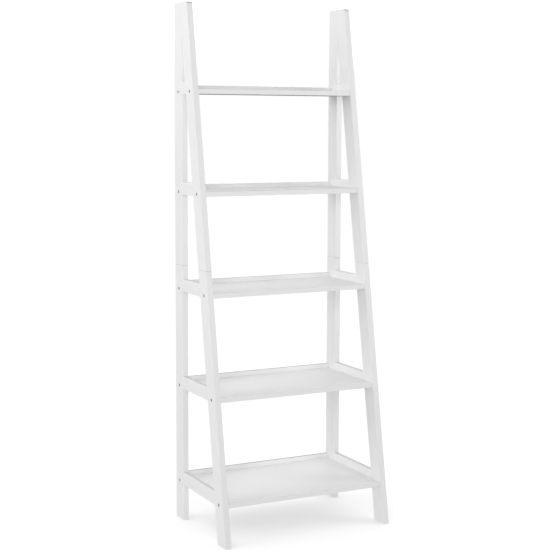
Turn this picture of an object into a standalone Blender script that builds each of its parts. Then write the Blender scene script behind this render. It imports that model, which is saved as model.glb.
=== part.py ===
"""White ladder shelf: two knock-down side frames with five bolted shelves.

Metres, +Z up, front towards -Y. The origin is on the floor, in the middle of the footprint.
Each side frame is an upright rear post and a slanted front leg with five side rails between
them, and it comes apart at one seam, where a dowel joins the upper and lower members. Each
shelf is a panel with a back rail, held by four socket-head bolts through the side frames.
"""

import math

import bmesh
import bpy
from mathutils import Matrix, Vector

# Overall size
HEIGHT = 1.829
WIDTH = 0.640
DEPTH = 0.426
TOP_DEPTH = 0.110

# Boards
BOARD = 0.022            # thickness of posts, legs and side rails
POST_DEPTH = 0.063
LEG_DEPTH = 0.064        # measured level, front to back
SEAM_Z = 0.919
EDGE_ROUND = 0.0015
EDGE_SEGMENTS = 2
CAP_ROUND = 0.012        # round on the top front corner of each leg
CAP_STEPS = 5

# Shelves
SHELF_PITCH = 0.348
LOWER_SHELF_Z = 0.131
UPPER_SHELF_Z = 1.168
LOWER_SHELVES = 3
UPPER_SHELVES = 2
PANEL_THICK = 0.017
PANEL_SETBACK = 0.002
SIDE_RAIL_HEIGHT = 0.044
SIDE_RAIL_ROUND = 0.004
BACK_RAIL_HEIGHT = 0.032
BACK_RAIL_THICK = 0.018
BACK_RAIL_INSET = 0.001
BACK_RAIL_ROUND = 0.003

# Fasteners
HEAD_RADIUS = 0.0050
HEAD_HEIGHT = 0.0042
HEAD_SUNK = 0.0008
SOCKET_RADIUS = 0.0029
SOCKET_DEPTH = 0.0024
SOCKET_SIDES = 6
SHANK_RADIUS = 0.0030
SHANK_LENGTH = 0.052
BOLT_CHAMFER = 0.0006
DOWEL_RADIUS = 0.0050
DOWEL_LENGTH = 0.070
DOWEL_CHAMFER = 0.001
ROUND_STEPS = 16

GAP = 0.0003             # clearance between pieces that touch
RAIL_SEGMENTS = 3        # in the rounded top edges of the rails
SAME = 0.00001           # points closer than this are the same point
FLAT_ANGLE = math.radians(1)
SMOOTH_ANGLE = math.radians(35)
BEVEL_ANGLE = math.radians(40)

SHELF_Z = [LOWER_SHELF_Z + i * SHELF_PITCH for i in range(LOWER_SHELVES)]
SHELF_Z += [UPPER_SHELF_Z + i * SHELF_PITCH for i in range(UPPER_SHELVES)]
SIDES = {"left": -1, "right": 1}
REAR_Y = DEPTH / 2
POST_FRONT_Y = REAR_Y - POST_DEPTH
INNER_X = WIDTH / 2 - BOARD
LEG_SLOPE = (DEPTH - TOP_DEPTH) / HEIGHT


def leg_front_y(z):
    """Front face of the leg at height z."""
    return -DEPTH / 2 + LEG_SLOPE * z


def leg_back_y(z):
    return leg_front_y(z) + LEG_DEPTH


def clear_scene():
    for obj in list(bpy.data.objects):
        bpy.data.objects.remove(obj, do_unlink=True)


def new_collection(name):
    collection = bpy.data.collections.new(name)
    bpy.context.scene.collection.children.link(collection)
    return collection


def new_material(name, colour, roughness, metallic=0.0):
    material = bpy.data.materials.new(name)
    material.use_nodes = True
    shader = material.node_tree.nodes["Principled BSDF"]
    shader.inputs["Base Color"].default_value = (*colour, 1.0)
    shader.inputs["Roughness"].default_value = roughness
    shader.inputs["Metallic"].default_value = metallic
    return material


clear_scene()
PARTS = new_collection("ladder_shelf")
CUTTERS = new_collection("cutters")
FRAME_PAINT = new_material("frame_paint", (0.84, 0.84, 0.83), 0.42)
SHELF_PAINT = new_material("shelf_paint", (0.86, 0.86, 0.85), 0.40)
BOLT_METAL = new_material("bolt_metal", (0.62, 0.62, 0.63), 0.35, 1.0)
DOWEL_WOOD = new_material("dowel_wood", (0.62, 0.45, 0.28), 0.6)


def add_object(name, mesh, material, collection=None):
    obj = bpy.data.objects.new(name, mesh)
    (collection or PARTS).objects.link(obj)
    if material and not mesh.materials:
        mesh.materials.append(material)
    return obj


def finish_mesh(name, bm):
    bmesh.ops.recalc_face_normals(bm, faces=bm.faces)
    mesh = bpy.data.meshes.new(name)
    bm.to_mesh(mesh)
    bm.free()
    return mesh


def soften(obj):
    """Small round on the edges that are still square."""
    bevel = obj.modifiers.new("edge_round", "BEVEL")
    bevel.width = EDGE_ROUND
    bevel.segments = EDGE_SEGMENTS
    bevel.limit_method = "ANGLE"
    bevel.angle_limit = BEVEL_ANGLE


def box_mesh(low, high):
    bm = bmesh.new()
    bmesh.ops.create_cube(bm, size=1.0)
    low, high = Vector(low), Vector(high)
    size = high - low
    place = Matrix.Translation((low + high) / 2) @ Matrix.Diagonal((*size, 1.0))
    bmesh.ops.transform(bm, matrix=place, verts=bm.verts)
    return bm


def round_long_edges(bm, axis, height, radius):
    """Round the two top edges that run along the axis (0 for X, 1 for Y)."""
    picked = []
    for edge in bm.edges:
        a, b = (v.co for v in edge.verts)
        level = abs(a.z - height) < SAME and abs(b.z - height) < SAME
        across = abs(a[1 - axis] - b[1 - axis]) < SAME
        if level and across:
            picked.append(edge)
    bmesh.ops.bevel(bm, geom=picked, offset=radius, segments=RAIL_SEGMENTS, profile=0.5,
                    affect="EDGES")


def side_outline_mesh(name, outline, thickness):
    """Board cut to an outline in the YZ plane, centred on X = 0."""
    curve = bpy.data.curves.new(name + "_outline", "CURVE")
    curve.dimensions = "2D"
    curve.fill_mode = "BOTH"
    curve.extrude = thickness / 2
    spline = curve.splines.new("POLY")
    spline.points.add(len(outline) - 1)
    for point, (y, z) in zip(spline.points, outline):
        point.co = (y, z, 0.0, 1.0)
    spline.use_cyclic_u = True
    flat = bpy.data.objects.new(name + "_flat", curve)
    CUTTERS.objects.link(flat)
    bpy.context.view_layer.update()
    graph = bpy.context.evaluated_depsgraph_get()
    raw = bpy.data.meshes.new_from_object(flat.evaluated_get(graph))
    bpy.data.objects.remove(flat, do_unlink=True)
    bm = bmesh.new()
    bm.from_mesh(raw)
    bpy.data.meshes.remove(raw)
    bmesh.ops.remove_doubles(bm, verts=bm.verts, dist=SAME)
    bmesh.ops.dissolve_limit(bm, angle_limit=FLAT_ANGLE, verts=bm.verts, edges=bm.edges)
    # The curve lies in XY with its thickness along Z: turn X to Y, Y to Z and Z to X.
    turn = Matrix(((0, 0, 1, 0), (1, 0, 0, 0), (0, 1, 0, 0), (0, 0, 0, 1)))
    bmesh.ops.transform(bm, matrix=turn, verts=bm.verts)
    return bm


def turned_mesh(name, profile, material):
    """Solid of revolution about local Z from (radius, height) points, highest first."""
    mesh = bpy.data.meshes.new(name + "_profile")
    points = [(r, 0.0, z) for r, z in profile]
    mesh.from_pydata(points, [(i, i + 1) for i in range(len(points) - 1)], [])
    obj = add_object(name, mesh, material, CUTTERS)
    screw = obj.modifiers.new("turn", "SCREW")
    screw.axis = "Z"
    screw.steps = ROUND_STEPS
    screw.render_steps = ROUND_STEPS
    screw.use_merge_vertices = True
    screw.merge_threshold = SAME
    return obj


def frozen_mesh(obj, name):
    """Evaluated mesh of an object, which is then removed."""
    bpy.context.view_layer.update()
    graph = bpy.context.evaluated_depsgraph_get()
    mesh = bpy.data.meshes.new_from_object(obj.evaluated_get(graph))
    mesh.name = name
    bpy.data.objects.remove(obj, do_unlink=True)
    return mesh


def smooth_round(mesh):
    mesh.shade_smooth()
    mesh.set_sharp_from_angle(angle=SMOOTH_ANGLE)


def add_cutter(name, radius, length, centre, direction, vertices=ROUND_STEPS):
    """Round cutter of the given length, centred on a point."""
    bm = bmesh.new()
    bmesh.ops.create_cone(bm, cap_ends=True, segments=vertices, radius1=radius,
                          radius2=radius, depth=length)
    cutter = add_object(name, finish_mesh(name, bm), None, CUTTERS)
    turn = Vector(direction).to_track_quat("Z", "Y").to_matrix().to_4x4()
    cutter.matrix_world = Matrix.Translation(Vector(centre)) @ turn
    cutter.hide_render = True
    cutter.display_type = "WIRE"
    return cutter


def cut(obj, cutter):
    boolean = obj.modifiers.new("cut_" + cutter.name, "BOOLEAN")
    boolean.operation = "DIFFERENCE"
    boolean.solver = "EXACT"
    boolean.object = cutter


# ---------------------------------------------------------------- side frames

def add_board(name, outline, side):
    bm = side_outline_mesh(name, outline, BOARD)
    shift = Matrix.Translation((side * (WIDTH - BOARD) / 2, 0, 0))
    bmesh.ops.transform(bm, matrix=shift, verts=bm.verts)
    board = add_object(name, finish_mesh(name, bm), FRAME_PAINT)
    soften(board)
    return board


def post_outline(low, high):
    return [(POST_FRONT_Y, low), (REAR_Y, low), (REAR_Y, high), (POST_FRONT_Y, high)]


def lower_leg_outline():
    top = SEAM_Z - GAP / 2
    return [(leg_front_y(0), 0), (leg_back_y(0), 0), (leg_back_y(top), top), (leg_front_y(top), top)]


def upper_leg_outline():
    """The back follows the slant up to the post, then runs up its front face."""
    low = SEAM_Z + GAP / 2
    back_y = POST_FRONT_Y - GAP
    meet_z = (back_y - leg_back_y(0)) / LEG_SLOPE
    corner = Vector((leg_front_y(HEIGHT), HEIGHT))
    down = Vector((-LEG_SLOPE, -1)).normalized()
    turn = math.pi / 2 - math.atan(LEG_SLOPE)
    reach = CAP_ROUND / math.tan((math.pi - turn) / 2)
    centre = corner + Vector((reach, -CAP_ROUND))
    arc = []
    for step in range(CAP_STEPS + 1):
        angle = math.pi / 2 + turn * step / CAP_STEPS
        arc.append((centre.x + CAP_ROUND * math.cos(angle), centre.y + CAP_ROUND * math.sin(angle)))
    outline = [(leg_front_y(low), low), (leg_back_y(low), low), (back_y, meet_z), (back_y, HEIGHT)]
    return outline + arc


def side_rail_outline(shelf_z):
    rear = POST_FRONT_Y - GAP
    top = shelf_z + SIDE_RAIL_HEIGHT
    slack = GAP * math.hypot(1, LEG_SLOPE)
    return [(rear, shelf_z), (rear, top), (leg_back_y(top) + slack, top),
            (leg_back_y(shelf_z) + slack, shelf_z)]


def add_side_rail(name, side, shelf_z):
    bm = side_outline_mesh(name, side_rail_outline(shelf_z), BOARD)
    shift = Matrix.Translation((side * (WIDTH - BOARD) / 2, 0, 0))
    bmesh.ops.transform(bm, matrix=shift, verts=bm.verts)
    round_long_edges(bm, 1, shelf_z + SIDE_RAIL_HEIGHT, SIDE_RAIL_ROUND)
    soften(add_object(name, finish_mesh(name, bm), FRAME_PAINT))


def add_side_frame(label, side):
    """Two rear posts, two front legs and the side rails of one frame."""
    outlines = {
        "rear_post_lower": post_outline(0, SEAM_Z - GAP / 2),
        "rear_post_upper": post_outline(SEAM_Z + GAP / 2, HEIGHT),
        "front_leg_lower": lower_leg_outline(),
        "front_leg_upper": upper_leg_outline(),
    }
    members = {}
    for part, outline in outlines.items():
        members[part] = add_board(f"{label}_{part}", outline, side)
    for number, shelf_z in enumerate(SHELF_Z, start=1):
        add_side_rail(f"{label}_side_rail_{number}", side, shelf_z)
    return members


# -------------------------------------------------------------------- shelves

def add_back_rail(name, shelf_z):
    rear = REAR_Y - BACK_RAIL_INSET
    half = INNER_X - GAP
    top = shelf_z + BACK_RAIL_HEIGHT
    bm = box_mesh((-half, rear - BACK_RAIL_THICK, shelf_z), (half, rear, top))
    round_long_edges(bm, 0, top, BACK_RAIL_ROUND)
    soften(add_object(name, finish_mesh(name, bm), SHELF_PAINT))


def add_panel(name, shelf_z):
    rear = REAR_Y - BACK_RAIL_INSET - BACK_RAIL_THICK - GAP
    front = leg_front_y(shelf_z + PANEL_THICK) + PANEL_SETBACK
    half = INNER_X - GAP
    bm = box_mesh((-half, front, shelf_z), (half, rear, shelf_z + PANEL_THICK))
    panel = add_object(name, finish_mesh(name, bm), SHELF_PAINT)
    soften(panel)
    return panel


# ------------------------------------------------------------------ fasteners

def bolt_mesh():
    """Socket-head bolt along local Z, with the top of its head at the origin."""
    tip = -HEAD_HEIGHT - SHANK_LENGTH
    profile = [(0.0, 0.0), (HEAD_RADIUS - BOLT_CHAMFER, 0.0), (HEAD_RADIUS, -BOLT_CHAMFER),
               (HEAD_RADIUS, -HEAD_HEIGHT), (SHANK_RADIUS, -HEAD_HEIGHT),
               (SHANK_RADIUS, tip + BOLT_CHAMFER), (SHANK_RADIUS - BOLT_CHAMFER, tip), (0.0, tip)]
    blank = turned_mesh("bolt_blank", profile, BOLT_METAL)
    socket = add_cutter("socket", SOCKET_RADIUS, 2 * SOCKET_DEPTH, (0, 0, 0), (0, 0, 1), SOCKET_SIDES)
    cut(blank, socket)
    mesh = frozen_mesh(blank, "bolt")
    bpy.data.objects.remove(socket, do_unlink=True)
    smooth_round(mesh)
    return mesh


def add_bolt(name, mesh, side, y, z, frame_member, panel):
    """Bolt pointing inwards, with the stepped hole it needs in the member and the panel."""
    face = side * WIDTH / 2
    inward = Vector((-side, 0, 0))
    outer = Vector((face, y, z))
    head_top = outer + inward * HEAD_SUNK
    bolt = add_object(name, mesh, BOLT_METAL)
    turn = (-inward).to_track_quat("Z", "Y").to_matrix().to_4x4()
    bolt.matrix_world = Matrix.Translation(head_top) @ turn
    recess = HEAD_SUNK + HEAD_HEIGHT + GAP
    cut(frame_member, add_cutter(name + "_recess", HEAD_RADIUS + GAP, 2 * recess, outer, inward))
    tip = outer + inward * (HEAD_SUNK + HEAD_HEIGHT + SHANK_LENGTH + GAP)
    hole = add_cutter(name + "_hole", SHANK_RADIUS + GAP, 2 * (tip - outer).length, outer, inward)
    cut(frame_member, hole)
    cut(panel, hole)


def dowel_mesh():
    half = DOWEL_LENGTH / 2
    shoulder = half - DOWEL_CHAMFER
    point = DOWEL_RADIUS - DOWEL_CHAMFER
    profile = [(0.0, half), (point, half), (DOWEL_RADIUS, shoulder),
               (DOWEL_RADIUS, -shoulder), (point, -half), (0.0, -half)]
    mesh = frozen_mesh(turned_mesh("dowel_blank", profile, DOWEL_WOOD), "dowel")
    smooth_round(mesh)
    return mesh


def add_dowel(name, mesh, centre, along, lower, upper):
    dowel = add_object(name, mesh, DOWEL_WOOD)
    turn = Vector(along).to_track_quat("Z", "Y").to_matrix().to_4x4()
    dowel.matrix_world = Matrix.Translation(Vector(centre)) @ turn
    hole = add_cutter(name + "_hole", DOWEL_RADIUS + GAP, DOWEL_LENGTH + 2 * GAP, centre, along)
    cut(lower, hole)
    cut(upper, hole)


# ------------------------------------------------------------------- assembly

def build():
    frames = {label: add_side_frame(label, side) for label, side in SIDES.items()}
    bolts = bolt_mesh()
    dowels = dowel_mesh()
    for number, shelf_z in enumerate(SHELF_Z, start=1):
        add_back_rail(f"back_rail_{number}", shelf_z)
        panel = add_panel(f"shelf_panel_{number}", shelf_z)
        bolt_z = shelf_z + PANEL_THICK / 2
        level = "lower" if bolt_z < SEAM_Z else "upper"
        rows = {"rear": REAR_Y - POST_DEPTH / 2, "front": leg_front_y(bolt_z) + LEG_DEPTH / 2}
        member_names = {"rear": "rear_post_", "front": "front_leg_"}
        for label, side in SIDES.items():
            for row, y in rows.items():
                member = frames[label][member_names[row] + level]
                add_bolt(f"bolt_{label}_{row}_{number}", bolts, side, y, bolt_z, member, panel)
    for label, side in SIDES.items():
        x = side * (WIDTH - BOARD) / 2
        post_centre = (x, REAR_Y - POST_DEPTH / 2, SEAM_Z)
        leg_centre = (x, leg_front_y(SEAM_Z) + LEG_DEPTH / 2, SEAM_Z)
        frame = frames[label]
        add_dowel(f"dowel_{label}_rear", dowels, post_centre, (0, 0, 1),
                  frame["rear_post_lower"], frame["rear_post_upper"])
        add_dowel(f"dowel_{label}_front", dowels, leg_centre, (0, LEG_SLOPE, 1),
                  frame["front_leg_lower"], frame["front_leg_upper"])


build()
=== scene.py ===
"""Looks of the white ladder shelf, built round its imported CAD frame.

Every visible board, panel, rail and bolt is a finer mesh than its CAD node and stands for it; the
hidden dowels stay as CAD nodes. Metres, +Z up, front towards -Y.
"""

import math

import bmesh
import bpy
from mathutils import Euler, Matrix, Vector


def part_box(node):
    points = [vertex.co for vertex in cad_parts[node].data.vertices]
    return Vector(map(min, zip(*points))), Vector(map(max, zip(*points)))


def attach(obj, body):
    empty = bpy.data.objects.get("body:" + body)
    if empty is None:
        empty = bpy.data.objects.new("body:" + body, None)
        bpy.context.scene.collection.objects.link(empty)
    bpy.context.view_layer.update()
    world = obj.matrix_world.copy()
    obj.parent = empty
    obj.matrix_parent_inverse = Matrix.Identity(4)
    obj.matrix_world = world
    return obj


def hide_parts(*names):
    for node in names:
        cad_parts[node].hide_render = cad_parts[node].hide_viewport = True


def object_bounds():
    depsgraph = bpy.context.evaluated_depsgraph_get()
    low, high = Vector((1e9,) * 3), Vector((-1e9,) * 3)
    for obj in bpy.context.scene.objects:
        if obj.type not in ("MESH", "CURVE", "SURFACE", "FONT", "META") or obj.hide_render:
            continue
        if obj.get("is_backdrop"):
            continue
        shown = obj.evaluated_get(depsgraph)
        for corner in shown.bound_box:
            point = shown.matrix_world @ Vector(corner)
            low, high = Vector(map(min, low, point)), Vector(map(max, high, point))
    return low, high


# Sections and clearances that the boxes of the frame don't show
LEG_DEPTH = 0.064        # measured level, front to back
CAP_ROUND = 0.012        # top front corner of each leg
CAP_STEPS = 8
PANEL_SETBACK = 0.002    # panel front edge behind the leg's front face
GAP = 0.0003

# Rounding of the painted boards
ARRIS = 0.0016           # eased edges of posts, legs and panels
BUTT_EASE = 0.0003       # ends that meet another board
SEAM_EASE = 0.0010       # ends where the lower and upper boards of a leg or post meet
SIDE_RAIL_ROUND = 0.0045
BACK_RAIL_ROUND = 0.0035
ROUND_SEGMENTS = 4

# Bolts, with the top of the head at local Z = 0
HEAD_HEIGHT = 0.0042
HEAD_RADIUS = 0.0050
HEAD_EDGE = 0.0008
HEAD_EDGE_STEPS = 4
SHANK_RADIUS = 0.0030
SHANK_CHAMFER = 0.0006
SOCKET_SIDES = 6
SOCKET_RADIUS = 0.0029
SOCKET_TURN = math.radians(4)  # keeps its corners off the seams of the turned head
SOCKET_DEPTH = 0.0024
SOCKET_MOUTH = 0.0004
RIM = 0.0006             # softened rim of each recess
LATHE_STEPS = 40
WELD = 0.000001

# The photograph's viewing angle
CAMERA_PLACE = Vector((-2.057, -3.983, 1.425))
CAMERA_YAW = math.radians(27.186)
CAMERA_PITCH = math.radians(6.20)
CAMERA_ROLL = math.radians(0.23)
CAMERA_SENSOR = 36.0     # millimetres, like the lens
CAMERA_LENS = 82.4
CAMERA_SHIFT_Y = -0.0354

# Studio
FLOOR_REACH = 30.0
FLOOR_GREY = (0.60, 0.60, 0.60, 1.0)
FLOOR_CLOUD = 1.5
FLOOR_ROUGHNESS = (0.45, 0.55)
FLOOR_GLOW = 0.208       # overexposure of the floor, seen by the camera only
FLOOR_LIGHT = 2.378
FLOOR_LIGHT_ANGLE = math.radians(110)
# softboxes: place, size and power
SOFTBOXES = {
    "right_softbox": ((3.0, -1.8, 1.8), 1.6, 31.1),
    "left_softbox": ((-3.2, 0.2, 2.4), 1.6, 13.6),
    "front_softbox": ((-2.2, -4.0, 2.0), 2.0, 63.3),
}
# strength of the walls of the surround by the direction that they lie in, and of the floor's bounce
WALLS = {
    (-1, 0, 0): 0.870,
    (1, 0, 0): 0.557,
    (0, -1, 0): 0.216,
    (0, 1, 0): 1.174,
}
WALL_FOOT = 0.05         # height at which the walls reach full strength, on a sphere of radius 1
FLOOR_BOUNCE = 1.371

UP = Vector((0, 0, 1))
QUARTER = math.pi / 2
SHARP_ANGLE = math.radians(35)
FACING = 0.9             # a face looks in a direction if its normal's dot product with it is above this

# Paint and metal: colours are linear, lengths are in metres, noise scales are per metre
PAINT = (0.92, 0.92, 0.92)
PANEL_PAINT = (0.895, 0.895, 0.895)
# painted shade: a dark grey mixed into faces that look up, so the tops of legs, rails and panels read
# darker
TOP_SHADE_COLOUR = (0.40, 0.40, 0.40, 1.0)
RUBBED_SHADE = 0.90
UNDERSIDE_PAINTED_SHADE = 0.32  # painted shade: the underside of the top panel is a darker grey, standing in for the shade under it
# share of painted shade that darkens faces that look up
LEG_TOP_SHADE = 0.75
SIDE_RAIL_TOP_SHADE = 0.65
BACK_RAIL_TOP_SHADE = 0.85
PANEL_TOP_SHADE = 0.05
# normal Z at which the painted shade starts
LEG_LEDGE = 0.35
RAIL_LEDGE = 0.96
LEVEL = 0.995            # normal Z of a level face
# depth of the wood grain under the paint
LEG_GRAIN = 0.00006
RAIL_GRAIN = 0.00004
PANEL_GRAIN = 0.00003
PEEL_DEPTH = 0.000012
GRAIN_SCALE = 420.0
GRAIN_STRETCH = 18.0
PEEL_SCALE = 1500.0
CLOUD_SCALE = 4.0
WEAR_RADIUS = 0.0018
EDGE_SAMPLES = 6
EDGE_SPAN = (0.99, 0.80)  # dot product of true and rounded normal on a flat face and on an edge
FINE_DETAIL = 5.0
SOFT_DETAIL = 2.0
# span of noise values that is spread over a range
NOISE_SPAN = (0.3, 0.7)
NARROW_SPAN = (0.35, 0.65)
FULL_RANGE = (0.0, 1.0)
CLOUD_TINT = (0.99, 1.005)
GRAIN_TINT = (0.994, 1.003)
WORN_PATCHES = (0.3, 1.0)
# patchiness of the painted shade on faces that look up
TOP_SHADE_PATCHES = (0.85, 1.0)
PAINT_ROUGHNESS = (0.40, 0.50)
PEEL_ROUGHNESS = (-0.03, 0.03)
WORN_SHARE = 0.35
WORN_GLOSS = 0.08        # taken off the roughness of handled edges
STEEL_SHADE = 0.30
STEEL_TINT = (0.92, 1.05)
STEEL_ROUGHNESS = (0.28, 0.42)
STEEL_RELIEF = 0.00001
# lighter rim of the bolt heads: rubbed metal and partly a painted highlight
STEEL_RUBBED_HIGHLIGHT_SHARE = 0.5
STEEL_RUBBED_HIGHLIGHT = (0.50, 0.50, 0.51, 1.0)
STEEL_MARKS = 2600.0
STEEL_CLOUD = 300.0
STEEL_CLOUD_DETAIL = 3.0
STEEL_WEAR_RADIUS = 0.0004
BEECH_LIGHT = (0.66, 0.47, 0.29, 1.0)
BEECH_DARK = (0.50, 0.33, 0.19, 1.0)
BEECH_SCALE = 700.0
BEECH_STRETCH = 12.0
BEECH_ROUGHNESS = (0.5, 0.7)
BEECH_RELIEF = 0.00005

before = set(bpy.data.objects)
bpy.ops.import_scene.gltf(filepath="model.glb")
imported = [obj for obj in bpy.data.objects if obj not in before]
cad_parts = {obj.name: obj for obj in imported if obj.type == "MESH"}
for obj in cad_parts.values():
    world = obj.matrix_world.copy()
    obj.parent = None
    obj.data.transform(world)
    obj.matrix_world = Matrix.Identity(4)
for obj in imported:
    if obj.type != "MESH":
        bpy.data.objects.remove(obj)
cad_low, cad_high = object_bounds()
SIDES = {"left": -1, "right": 1}
SHELVES = range(1, 1 + sum(name.startswith("shelf_panel_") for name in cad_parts))

first_low, first_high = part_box(f"shelf_panel_{SHELVES[0]}")
last_low, last_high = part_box(f"shelf_panel_{SHELVES[-1]}")
LEG_SLOPE = (last_low.y - first_low.y) / (last_high.z - first_high.z)


def leg_front_y(z):
    """Front face of the legs at height z, from the line that the panels' front edges follow."""
    return first_low.y - PANEL_SETBACK + LEG_SLOPE * (z - first_high.z)


def leg_back_y(z):
    return leg_front_y(z) + LEG_DEPTH


# ------------------------------------------------------------------ materials

class Wiring:
    """The nodes of a material or the world, with short helpers that wire them up."""

    def __init__(self, owner, shader, coordinates):
        owner.use_nodes = True
        self.tree = owner.node_tree
        self.shader = self.tree.nodes[shader]
        self.place = self.add("ShaderNodeTexCoord").outputs[coordinates]

    def add(self, kind, inputs=None, **settings):
        node = self.tree.nodes.new(kind)
        for key, value in settings.items():
            setattr(node, key, value)
        for key, value in (inputs or {}).items():
            self.put(value, node.inputs[key])
        return node

    def put(self, value, socket):
        if isinstance(value, bpy.types.NodeSocket):
            self.tree.links.new(value, socket)
        else:
            socket.default_value = value

    def along_grain(self, turn, stretch):
        """Object coordinates turned so that Z follows the grain and stretched along it."""
        inputs = {"Vector": self.place, "Rotation": turn, "Scale": (1, 1, stretch)}
        return self.add("ShaderNodeMapping", inputs, vector_type="TEXTURE").outputs["Vector"]

    def noise(self, vector, scale, detail):
        inputs = {"Vector": vector, "Scale": scale, "Detail": detail}
        return self.add("ShaderNodeTexNoise", inputs).outputs["Fac"]

    def spread(self, value, low, high, out_low, out_high):
        inputs = {"Value": value, "From Min": low, "From Max": high,
                  "To Min": out_low, "To Max": out_high}
        return self.add("ShaderNodeMapRange", inputs).outputs["Result"]

    def maths(self, operation, a, b):
        return self.add("ShaderNodeMath", {0: a, 1: b}, operation=operation).outputs["Value"]

    def product(self, *values):
        total = values[0]
        for value in values[1:]:
            total = self.maths("MULTIPLY", total, value)
        return total

    def mixed(self, amount, colour_a, colour_b):
        mix = self.add("ShaderNodeMix", data_type="RGBA")
        self.put(amount, mix.inputs["Factor"])
        sockets = {socket.identifier: socket for socket in [*mix.inputs, *mix.outputs]}
        self.put(colour_a, sockets["A_Color"])
        self.put(colour_b, sockets["B_Color"])
        return sockets["Result_Color"]

    def edge_mask(self, radius):
        """1 on edges sharper than the radius, 0 on flat faces."""
        true_normal = self.add("ShaderNodeNewGeometry").outputs["Normal"]
        bevel = self.add("ShaderNodeBevel", {"Radius": radius}, samples=EDGE_SAMPLES)
        inputs = {0: true_normal, 1: bevel.outputs["Normal"]}
        agreement = self.add("ShaderNodeVectorMath", inputs, operation="DOT_PRODUCT").outputs["Value"]
        return self.spread(agreement, *EDGE_SPAN, *FULL_RANGE)

    def height_of(self, vector):
        return self.add("ShaderNodeSeparateXYZ", {"Vector": vector}).outputs["Z"]

    def level_mask(self, sign, start):
        """1 on faces that look straight up (sign 1) or straight down (sign -1), 0 at normal Z start."""
        normal = self.add("ShaderNodeNewGeometry").outputs["Normal"]
        return self.spread(self.product(self.height_of(normal), sign), start, LEVEL, *FULL_RANGE)

    def relief(self, *layers):
        """Bump from (height, depth in metres) layers."""
        normal = None
        for height, depth in layers:
            bump = self.add("ShaderNodeBump", {"Height": height, "Distance": depth, "Strength": 1.0})
            if normal:
                self.put(normal, bump.inputs["Normal"])
            normal = bump.outputs["Normal"]
        self.put(normal, self.shader.inputs["Normal"])


class Finish(Wiring):
    """A Principled material in object coordinates."""

    def __init__(self, name):
        self.material = bpy.data.materials.new(name)
        super().__init__(self.material, "Principled BSDF", "Object")


def shaded(colour, share):
    return (*(share * channel for channel in colour), 1.0)


def painted_wood(name, turn, paint, underside_shade, top_shade, ledge, grain_depth):
    """Satin white paint over wood: faint grain, sprayed texture, handled edges, painted shade darkening
    faces that look up and, where given, faces that look down.
    """
    finish = Finish(name)
    grain = finish.noise(finish.along_grain(turn, GRAIN_STRETCH), GRAIN_SCALE, FINE_DETAIL)
    cloud = finish.noise(finish.place, CLOUD_SCALE, SOFT_DETAIL)
    peel = finish.noise(finish.place, PEEL_SCALE, SOFT_DETAIL)
    patches = finish.spread(cloud, *NARROW_SPAN, *WORN_PATCHES)
    worn = finish.product(finish.edge_mask(WEAR_RADIUS), patches)
    # painted shade on faces that look up, in patches
    top_shade_patchiness = finish.spread(cloud, *NOISE_SPAN, *TOP_SHADE_PATCHES)
    top_shade_mask = finish.product(finish.level_mask(1, ledge), top_shade_patchiness)
    shade = finish.product(finish.spread(cloud, *NOISE_SPAN, *CLOUD_TINT),
                           finish.spread(grain, *NOISE_SPAN, *GRAIN_TINT))
    tint = finish.add("ShaderNodeCombineColor", {"Red": shade, "Green": shade, "Blue": shade})
    coat = finish.add("ShaderNodeVectorMath", {0: tint.outputs["Color"], 1: paint},
                      operation="MULTIPLY").outputs["Vector"]
    rubbed = finish.mixed(finish.product(worn, WORN_SHARE), coat, shaded(paint, RUBBED_SHADE))
    # painted shade: dark grey mixed into faces that look up
    top_shaded = finish.mixed(finish.product(top_shade_mask, top_shade), rubbed, TOP_SHADE_COLOUR)
    # painted shade: faces that look down take a darker copy of the paint
    underside_shaded = finish.mixed(finish.level_mask(-1, RAIL_LEDGE), top_shaded, shaded(paint, underside_shade))
    finish.put(underside_shaded, finish.shader.inputs["Base Color"])
    rough = finish.maths("ADD", finish.spread(cloud, *NOISE_SPAN, *PAINT_ROUGHNESS),
                         finish.spread(peel, *NOISE_SPAN, *PEEL_ROUGHNESS))
    rough = finish.maths("SUBTRACT", rough, finish.product(worn, WORN_GLOSS))
    finish.put(rough, finish.shader.inputs["Roughness"])
    finish.relief((grain, grain_depth), (peel, PEEL_DEPTH))
    return finish.material


def bolt_steel(name):
    """Dull zinc plate with turning marks and a lighter rim, partly rubbed metal and partly a painted
    highlight.
    """
    finish = Finish(name)
    marks = finish.noise(finish.place, STEEL_MARKS, SOFT_DETAIL)
    cloud = finish.noise(finish.place, STEEL_CLOUD, STEEL_CLOUD_DETAIL)
    shade = finish.product(finish.spread(cloud, *NOISE_SPAN, *STEEL_TINT), STEEL_SHADE)
    tint = finish.add("ShaderNodeCombineColor", {"Red": shade, "Green": shade, "Blue": shade})
    # lighter rim: rubbed metal, partly a painted highlight
    rubbed = finish.product(finish.edge_mask(STEEL_WEAR_RADIUS), STEEL_RUBBED_HIGHLIGHT_SHARE)
    colour = finish.mixed(rubbed, tint.outputs["Color"], STEEL_RUBBED_HIGHLIGHT)
    finish.put(colour, finish.shader.inputs["Base Color"])
    finish.shader.inputs["Metallic"].default_value = 1.0
    finish.put(finish.spread(marks, *NOISE_SPAN, *STEEL_ROUGHNESS), finish.shader.inputs["Roughness"])
    finish.relief((marks, STEEL_RELIEF))
    return finish.material


def dowel_beech(name):
    """Bare beech with fine brown flecks along the grain."""
    finish = Finish(name)
    grain = finish.noise(finish.along_grain((0, 0, 0), BEECH_STRETCH), BEECH_SCALE, FINE_DETAIL)
    colour = finish.mixed(finish.spread(grain, *NARROW_SPAN, *FULL_RANGE), BEECH_LIGHT, BEECH_DARK)
    finish.put(colour, finish.shader.inputs["Base Color"])
    finish.put(finish.spread(grain, *NOISE_SPAN, *BEECH_ROUGHNESS), finish.shader.inputs["Roughness"])
    finish.relief((grain, BEECH_RELIEF))
    return finish.material


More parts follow.
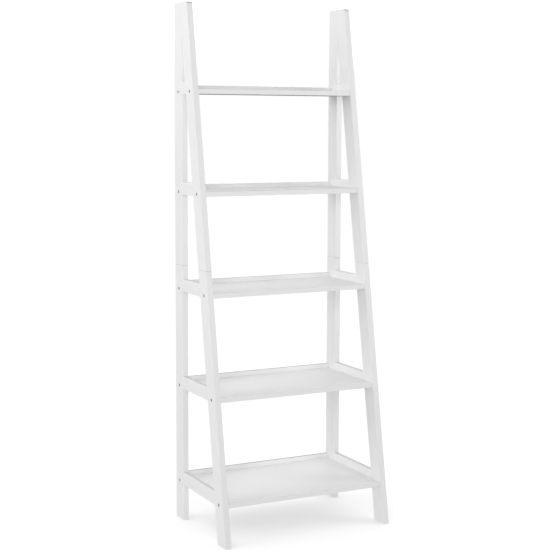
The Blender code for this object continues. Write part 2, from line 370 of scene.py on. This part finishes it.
SLANT = -math.atan(LEG_SLOPE)
upright_paint = painted_wood("upright_paint", (0, 0, 0), PAINT, 1.0, LEG_TOP_SHADE, LEG_LEDGE, LEG_GRAIN)
slanted_paint = painted_wood("slanted_paint", (SLANT, 0, 0), PAINT, 1.0, LEG_TOP_SHADE, LEG_LEDGE, LEG_GRAIN)
deep_paint = painted_wood("deep_paint", (QUARTER, 0, 0), PAINT, 1.0, SIDE_RAIL_TOP_SHADE, RAIL_LEDGE,
                          RAIL_GRAIN)
across_paint = painted_wood("across_paint", (0, QUARTER, 0), PAINT, 1.0, BACK_RAIL_TOP_SHADE, RAIL_LEDGE,
                            RAIL_GRAIN)
panel_paint = painted_wood("panel_paint", (0, QUARTER, 0), PANEL_PAINT, 1.0, PANEL_TOP_SHADE, RAIL_LEDGE,
                           PANEL_GRAIN)
# painted shade: the top panel's underside is darker grey, standing in for the shade under it
top_panel_shaded_paint = painted_wood("top_panel_shaded_paint", (0, QUARTER, 0), PANEL_PAINT, UNDERSIDE_PAINTED_SHADE,
                               PANEL_TOP_SHADE, RAIL_LEDGE, PANEL_GRAIN)
steel = bolt_steel("bolt_steel")
beech = dowel_beech("dowel_beech")


# --------------------------------------------------------------------- meshes

def prism(outline, low_x, high_x):
    """Closed prism of an outline of (y, z) points between two X planes."""
    bm = bmesh.new()
    near = [bm.verts.new((low_x, y, z)) for y, z in outline]
    far = [bm.verts.new((high_x, y, z)) for y, z in outline]
    bm.faces.new(near)
    bm.faces.new(far)
    for i in range(len(outline)):
        bm.faces.new((near[i - 1], near[i], far[i], far[i - 1]))
    bmesh.ops.recalc_face_normals(bm, faces=bm.faces)
    return bm


def edge_radius(edge, rules):
    """Radius of the first rule whose direction one of the edge's faces looks in."""
    for direction, radius in rules:
        if any(face.normal.dot(Vector(direction)) > FACING for face in edge.link_faces):
            return radius
    return ARRIS


def add_shaped(name, bm, rules, material):
    """Object from a square-edged mesh whose edges are rounded as the rules say."""
    bm.normal_update()
    widest = max(radius for _, radius in rules + [(UP, ARRIS)])
    weights = bm.edges.layers.float.new("bevel_weight_edge")
    for edge in bm.edges:
        if edge.calc_face_angle() > SHARP_ANGLE:
            edge[weights] = edge_radius(edge, rules) / widest
    mesh = bpy.data.meshes.new(name)
    bm.to_mesh(mesh)
    bm.free()
    mesh.materials.append(material)
    obj = bpy.data.objects.new(name, mesh)
    bpy.context.scene.collection.objects.link(obj)
    bevel = obj.modifiers.new("round", "BEVEL")
    bevel.limit_method = "WEIGHT"
    bevel.width = widest
    bevel.segments = ROUND_SEGMENTS
    return obj


def lathe(name, profile):
    """Solid of revolution about local Z from (radius, height) points, highest first."""
    mesh = bpy.data.meshes.new(name)
    points = [(r, 0.0, z) for r, z in profile]
    mesh.from_pydata(points, [(i, i + 1) for i in range(len(points) - 1)], [])
    obj = bpy.data.objects.new(name, mesh)
    bpy.context.scene.collection.objects.link(obj)
    screw = obj.modifiers.new("turn", "SCREW")
    screw.steps = LATHE_STEPS
    screw.render_steps = LATHE_STEPS
    screw.use_merge_vertices = True
    screw.merge_threshold = WELD
    return obj


def cut(obj, cutter):
    boolean = obj.modifiers.new(cutter.name, "BOOLEAN")
    boolean.operation = "DIFFERENCE"
    boolean.solver = "EXACT"
    boolean.object = cutter


def apply_modifiers(obj):
    bpy.context.view_layer.update()
    graph = bpy.context.evaluated_depsgraph_get()
    mesh = bpy.data.meshes.new_from_object(obj.evaluated_get(graph))
    obj.modifiers.clear()
    obj.data = mesh


def freeze(obj):
    """Replace an object's mesh with its evaluated one, smooth except at sharp edges."""
    apply_modifiers(obj)
    obj.data.shade_smooth()
    obj.data.set_sharp_from_angle(angle=SHARP_ANGLE)
    obj.modifiers.new("even_normals", "WEIGHTED_NORMAL").keep_sharp = True
    apply_modifiers(obj)


# --------------------------------------------------------------------- boards

def add_piece(name, obj, slot, *nodes):
    """Finished piece that stands for CAD nodes; the slot argument is not used."""
    freeze(obj)
    obj.name = name
    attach(obj, "root")
    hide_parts(*nodes)
    return obj


def post_outline(low, high):
    return [(low.y, low.z), (high.y, low.z), (high.y, high.z), (low.y, high.z)]


def lower_leg_outline(low, high):
    return [(leg_front_y(low.z), low.z), (leg_back_y(low.z), low.z),
            (leg_back_y(high.z), high.z), (leg_front_y(high.z), high.z)]


def upper_leg_outline(low, high):
    """Slanted board whose back is cut upright along the post, with a rounded top front corner."""
    back_y = high.y
    meet_z = low.z + (back_y - leg_back_y(low.z)) / LEG_SLOPE
    turn = QUARTER - math.atan(LEG_SLOPE)
    reach = CAP_ROUND / math.tan((math.pi - turn) / 2)
    centre_y = leg_front_y(high.z) + reach
    centre_z = high.z - CAP_ROUND
    outline = [(leg_front_y(low.z), low.z), (leg_back_y(low.z), low.z),
               (back_y, meet_z), (back_y, high.z)]
    for step in range(CAP_STEPS + 1):
        angle = QUARTER + turn * step / CAP_STEPS
        outline.append((centre_y + CAP_ROUND * math.cos(angle), centre_z + CAP_ROUND * math.sin(angle)))
    return outline


def side_rail_outline(low, high):
    slack = GAP * math.hypot(1, LEG_SLOPE)
    return [(high.y, low.z), (high.y, high.z),
            (leg_back_y(high.z) + slack, high.z), (leg_back_y(low.z) + slack, low.z)]


def board(node, outline_of, rules, material):
    """Square-edged board in the YZ plane where a CAD node is."""
    low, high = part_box(node)
    return add_shaped(node + "_board", prism(outline_of(low, high), low.x, high.x), rules, material)


def level_board(node, rules, material):
    """Shelf panel or back rail: a straight board across the frame."""
    return board(node, post_outline, rules, material)


TOP_BUTT = [((0, 0, 1), SEAM_EASE)]
FOOT_BUTT = [((0, 0, -1), SEAM_EASE)]
SIDE_RAIL_RULES = [((0, 1, 0), BUTT_EASE), ((0, -1, 0), BUTT_EASE), ((0, 0, 1), SIDE_RAIL_ROUND)]
BACK_RAIL_RULES = [((1, 0, 0), BUTT_EASE), ((-1, 0, 0), BUTT_EASE), ((0, 0, 1), BACK_RAIL_ROUND)]
PANEL_RULES = [((1, 0, 0), BUTT_EASE), ((-1, 0, 0), BUTT_EASE), ((0, 1, 0), BUTT_EASE)]
# part of a side frame: its outline, edge rules and paint
SIDE_BOARDS = {
    "rear_post_lower": (post_outline, TOP_BUTT, upright_paint),
    "rear_post_upper": (post_outline, FOOT_BUTT, upright_paint),
    "front_leg_lower": (lower_leg_outline, TOP_BUTT, slanted_paint),
    "front_leg_upper": (upper_leg_outline, FOOT_BUTT, slanted_paint),
}

boards = {}
for label in SIDES:
    for part, (outline_of, rules, material) in SIDE_BOARDS.items():
        node = f"{label}_{part}"
        boards[node] = board(node, outline_of, rules, material)
    for number in SHELVES:
        node = f"{label}_side_rail_{number}"
        boards[node] = board(node, side_rail_outline, SIDE_RAIL_RULES, deep_paint)
for number in SHELVES:
    boards[f"back_rail_{number}"] = level_board(f"back_rail_{number}", BACK_RAIL_RULES, across_paint)
    coat = top_panel_shaded_paint if number == SHELVES[-1] else panel_paint
    boards[f"shelf_panel_{number}"] = level_board(f"shelf_panel_{number}", PANEL_RULES, coat)


# ---------------------------------------------------------------------- bolts

def bolt_profile(length):
    """Cylinder head with a rounded rim on a plain shank."""
    rim = HEAD_RADIUS - HEAD_EDGE
    profile = [(0.0, 0.0)]
    for step in range(HEAD_EDGE_STEPS + 1):
        angle = QUARTER * (1 - step / HEAD_EDGE_STEPS)
        profile.append((rim + HEAD_EDGE * math.cos(angle), HEAD_EDGE * (math.sin(angle) - 1)))
    profile += [(HEAD_RADIUS, -HEAD_HEIGHT), (SHANK_RADIUS, -HEAD_HEIGHT),
                (SHANK_RADIUS, SHANK_CHAMFER - length), (SHANK_RADIUS - SHANK_CHAMFER, -length),
                (0.0, -length)]
    return profile


def socket_cutter():
    """Hexagonal key socket with a bevelled mouth, and a shallow cone at its bottom."""
    bm = bmesh.new()
    rings = []
    for radius, z in ((SOCKET_RADIUS + 2 * SOCKET_MOUTH, SOCKET_MOUTH),
                      (SOCKET_RADIUS, -SOCKET_MOUTH), (SOCKET_RADIUS, -SOCKET_DEPTH)):
        corners = [SOCKET_TURN + math.tau * i / SOCKET_SIDES for i in range(SOCKET_SIDES)]
        rings.append([bm.verts.new((radius * math.cos(a), radius * math.sin(a), z)) for a in corners])
    bm.faces.new(rings[0])
    for upper, lower in zip(rings, rings[1:]):
        for i in range(SOCKET_SIDES):
            bm.faces.new((upper[i - 1], upper[i], lower[i], lower[i - 1]))
    tip = bm.verts.new((0, 0, -SOCKET_DEPTH - SOCKET_MOUTH))
    for i in range(SOCKET_SIDES):
        bm.faces.new((rings[-1][i - 1], rings[-1][i], tip))
    bmesh.ops.recalc_face_normals(bm, faces=bm.faces)
    mesh = bpy.data.meshes.new("socket")
    bm.to_mesh(mesh)
    bm.free()
    obj = bpy.data.objects.new("socket", mesh)
    bpy.context.scene.collection.objects.link(obj)
    return obj


def hole_profile(sunk, length):
    """Stepped hole with a softened rim, measured from the board's outer face."""
    recess = HEAD_RADIUS + GAP
    floor = -(sunk + HEAD_HEIGHT + GAP)
    return [(0.0, RIM), (recess + 2 * RIM, RIM), (recess, -RIM), (recess, floor),
            (SHANK_RADIUS + GAP, floor), (SHANK_RADIUS + GAP, -(sunk + length + GAP)),
            (0.0, -(sunk + length + GAP))]


def frozen_mesh(obj, material=None):
    freeze(obj)
    mesh = obj.data
    bpy.data.objects.remove(obj)
    if material:
        mesh.materials.append(material)
    return mesh


bolt_low, bolt_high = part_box("bolt_left_rear_1")
bolt_length = bolt_high.x - bolt_low.x
sunk = bolt_low.x - cad_low.x
blank = lathe("bolt_blank", bolt_profile(bolt_length))
socket = socket_cutter()
cut(blank, socket)
bolt_mesh = frozen_mesh(blank, steel)
bpy.data.objects.remove(socket)
hole_mesh = frozen_mesh(lathe("hole", hole_profile(sunk, bolt_length)))
cutters = []
for number in SHELVES:
    below_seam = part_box(f"bolt_left_rear_{number}")[1].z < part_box("left_rear_post_lower")[1].z
    level = "lower" if below_seam else "upper"
    for label, side in SIDES.items():
        for row, member in (("rear", "rear_post"), ("front", "front_leg")):
            node = f"bolt_{label}_{row}_{number}"
            low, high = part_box(node)
            centre = (low + high) / 2
            outwards = Vector((side, 0, 0)).to_track_quat("Z", "Y").to_matrix().to_4x4()
            face_x = side * cad_high.x
            bolt = bpy.data.objects.new(node + "_socket_head", bolt_mesh)
            bpy.context.scene.collection.objects.link(bolt)
            bolt.matrix_world = Matrix.Translation((face_x - side * sunk, centre.y, centre.z)) @ outwards
            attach(bolt, "root")
            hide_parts(node)
            hole = bpy.data.objects.new(node + "_hole", hole_mesh)
            bpy.context.scene.collection.objects.link(hole)
            hole.matrix_world = Matrix.Translation((face_x, centre.y, centre.z)) @ outwards
            cutters.append(hole)
            cut(boards[f"{label}_{member}_{level}"], hole)
            cut(boards[f"shelf_panel_{number}"], hole)

for node, obj in boards.items():
    slot = "shelf_paint" if node.startswith(("shelf_panel", "back_rail")) else "frame_paint"
    add_piece(node + "_painted", obj, slot, node)
for hole in cutters:
    bpy.data.objects.remove(hole)
for name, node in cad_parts.items():
    if name.startswith("dowel_"):
        for index in range(len(node.data.materials)):
            node.material_slots[index].material = beech


# --------------------------------------------------------------------- studio

def add_floor():
    bm = bmesh.new()
    bmesh.ops.create_grid(bm, x_segments=2, y_segments=2, size=FLOOR_REACH)
    mesh = bpy.data.meshes.new("floor")
    bm.to_mesh(mesh)
    bm.free()
    finish = Finish("studio_floor")
    cloud = finish.noise(finish.place, FLOOR_CLOUD, SOFT_DETAIL)
    finish.put(finish.spread(cloud, *NOISE_SPAN, *FLOOR_ROUGHNESS), finish.shader.inputs["Roughness"])
    finish.shader.inputs["Base Color"].default_value = FLOOR_GREY
    finish.shader.inputs["Specular IOR Level"].default_value = 0.0
    finish.shader.inputs["Emission Color"].default_value = (1.0, 1.0, 1.0, 1.0)
    seen = finish.add("ShaderNodeLightPath").outputs["Is Camera Ray"]
    finish.put(finish.product(seen, FLOOR_GLOW), finish.shader.inputs["Emission Strength"])
    mesh.materials.append(finish.material)
    floor = bpy.data.objects.new("floor", mesh)
    bpy.context.scene.collection.objects.link(floor)
    # the surround gives the floor's bounce
    floor.visible_diffuse = False
    floor.visible_glossy = False
    floor.visible_shadow = False
    floor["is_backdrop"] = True
    return floor


def add_softbox(name, place, size, power):
    """Square area light aimed at the middle of the shelf."""
    light = bpy.data.lights.new(name, "AREA")
    light.shape = "SQUARE"
    light.size = size
    light.energy = power
    box = bpy.data.objects.new(name, light)
    box.location = place
    middle = (cad_low + cad_high) / 2
    box.rotation_euler = (middle - Vector(place)).to_track_quat("-Z", "Y").to_euler()
    bpy.context.scene.collection.objects.link(box)


def add_floor_light(floor):
    """Broad overhead light that falls on the floor only, for the soft shadow under the shelf."""
    light = bpy.data.lights.new("floor_light", "SUN")
    light.energy = FLOOR_LIGHT
    light.angle = FLOOR_LIGHT_ANGLE
    overhead = bpy.data.objects.new("floor_light", light)
    bpy.context.scene.collection.objects.link(overhead)
    receivers = bpy.data.collections.new("floor_light_receivers")
    receivers.objects.link(floor)
    overhead.light_linking.receiver_collection = receivers


def add_surround():
    """Soft light from the walls and floor of a white studio, which the eye sees as plain white."""
    world = bpy.data.worlds.new("surround")
    bpy.context.scene.world = world
    studio = Wiring(world, "Background", "Generated")
    height = studio.height_of(studio.place)
    walls = studio.spread(height, 0.0, WALL_FOOT, *FULL_RANGE)
    total = studio.product(studio.maths("MAXIMUM", studio.product(height, -1.0), 0.0), FLOOR_BOUNCE)
    for direction, strength in WALLS.items():
        inputs = {0: studio.place, 1: direction}
        facing = studio.add("ShaderNodeVectorMath", inputs, operation="DOT_PRODUCT").outputs["Value"]
        lit = studio.product(studio.maths("MAXIMUM", facing, 0.0), walls, strength)
        total = studio.maths("ADD", lit, total)
    seen = studio.add("ShaderNodeLightPath").outputs["Is Camera Ray"]
    studio.put(studio.maths("MAXIMUM", total, seen), studio.shader.inputs["Strength"])
    studio.shader.inputs["Color"].default_value = (1.0, 1.0, 1.0, 1.0)


def add_camera():
    data = bpy.data.cameras.new("camera")
    data.sensor_width = CAMERA_SENSOR
    data.lens = CAMERA_LENS
    data.shift_y = CAMERA_SHIFT_Y
    camera = bpy.data.objects.new("camera", data)
    turn = Euler((QUARTER - CAMERA_PITCH, 0, -CAMERA_YAW)).to_matrix()
    turn = turn @ Matrix.Rotation(CAMERA_ROLL, 3, "Z")
    camera.matrix_world = Matrix.Translation(CAMERA_PLACE) @ turn.to_4x4()
    bpy.context.scene.collection.objects.link(camera)
    bpy.context.scene.camera = camera


add_floor_light(add_floor())
add_surround()
for name, (place, size, power) in SOFTBOXES.items():
    add_softbox(name, place, size, power)
add_camera()
bpy.context.scene.view_settings.view_transform = "Standard"

bpy.context.view_layer.update()
low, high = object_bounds()
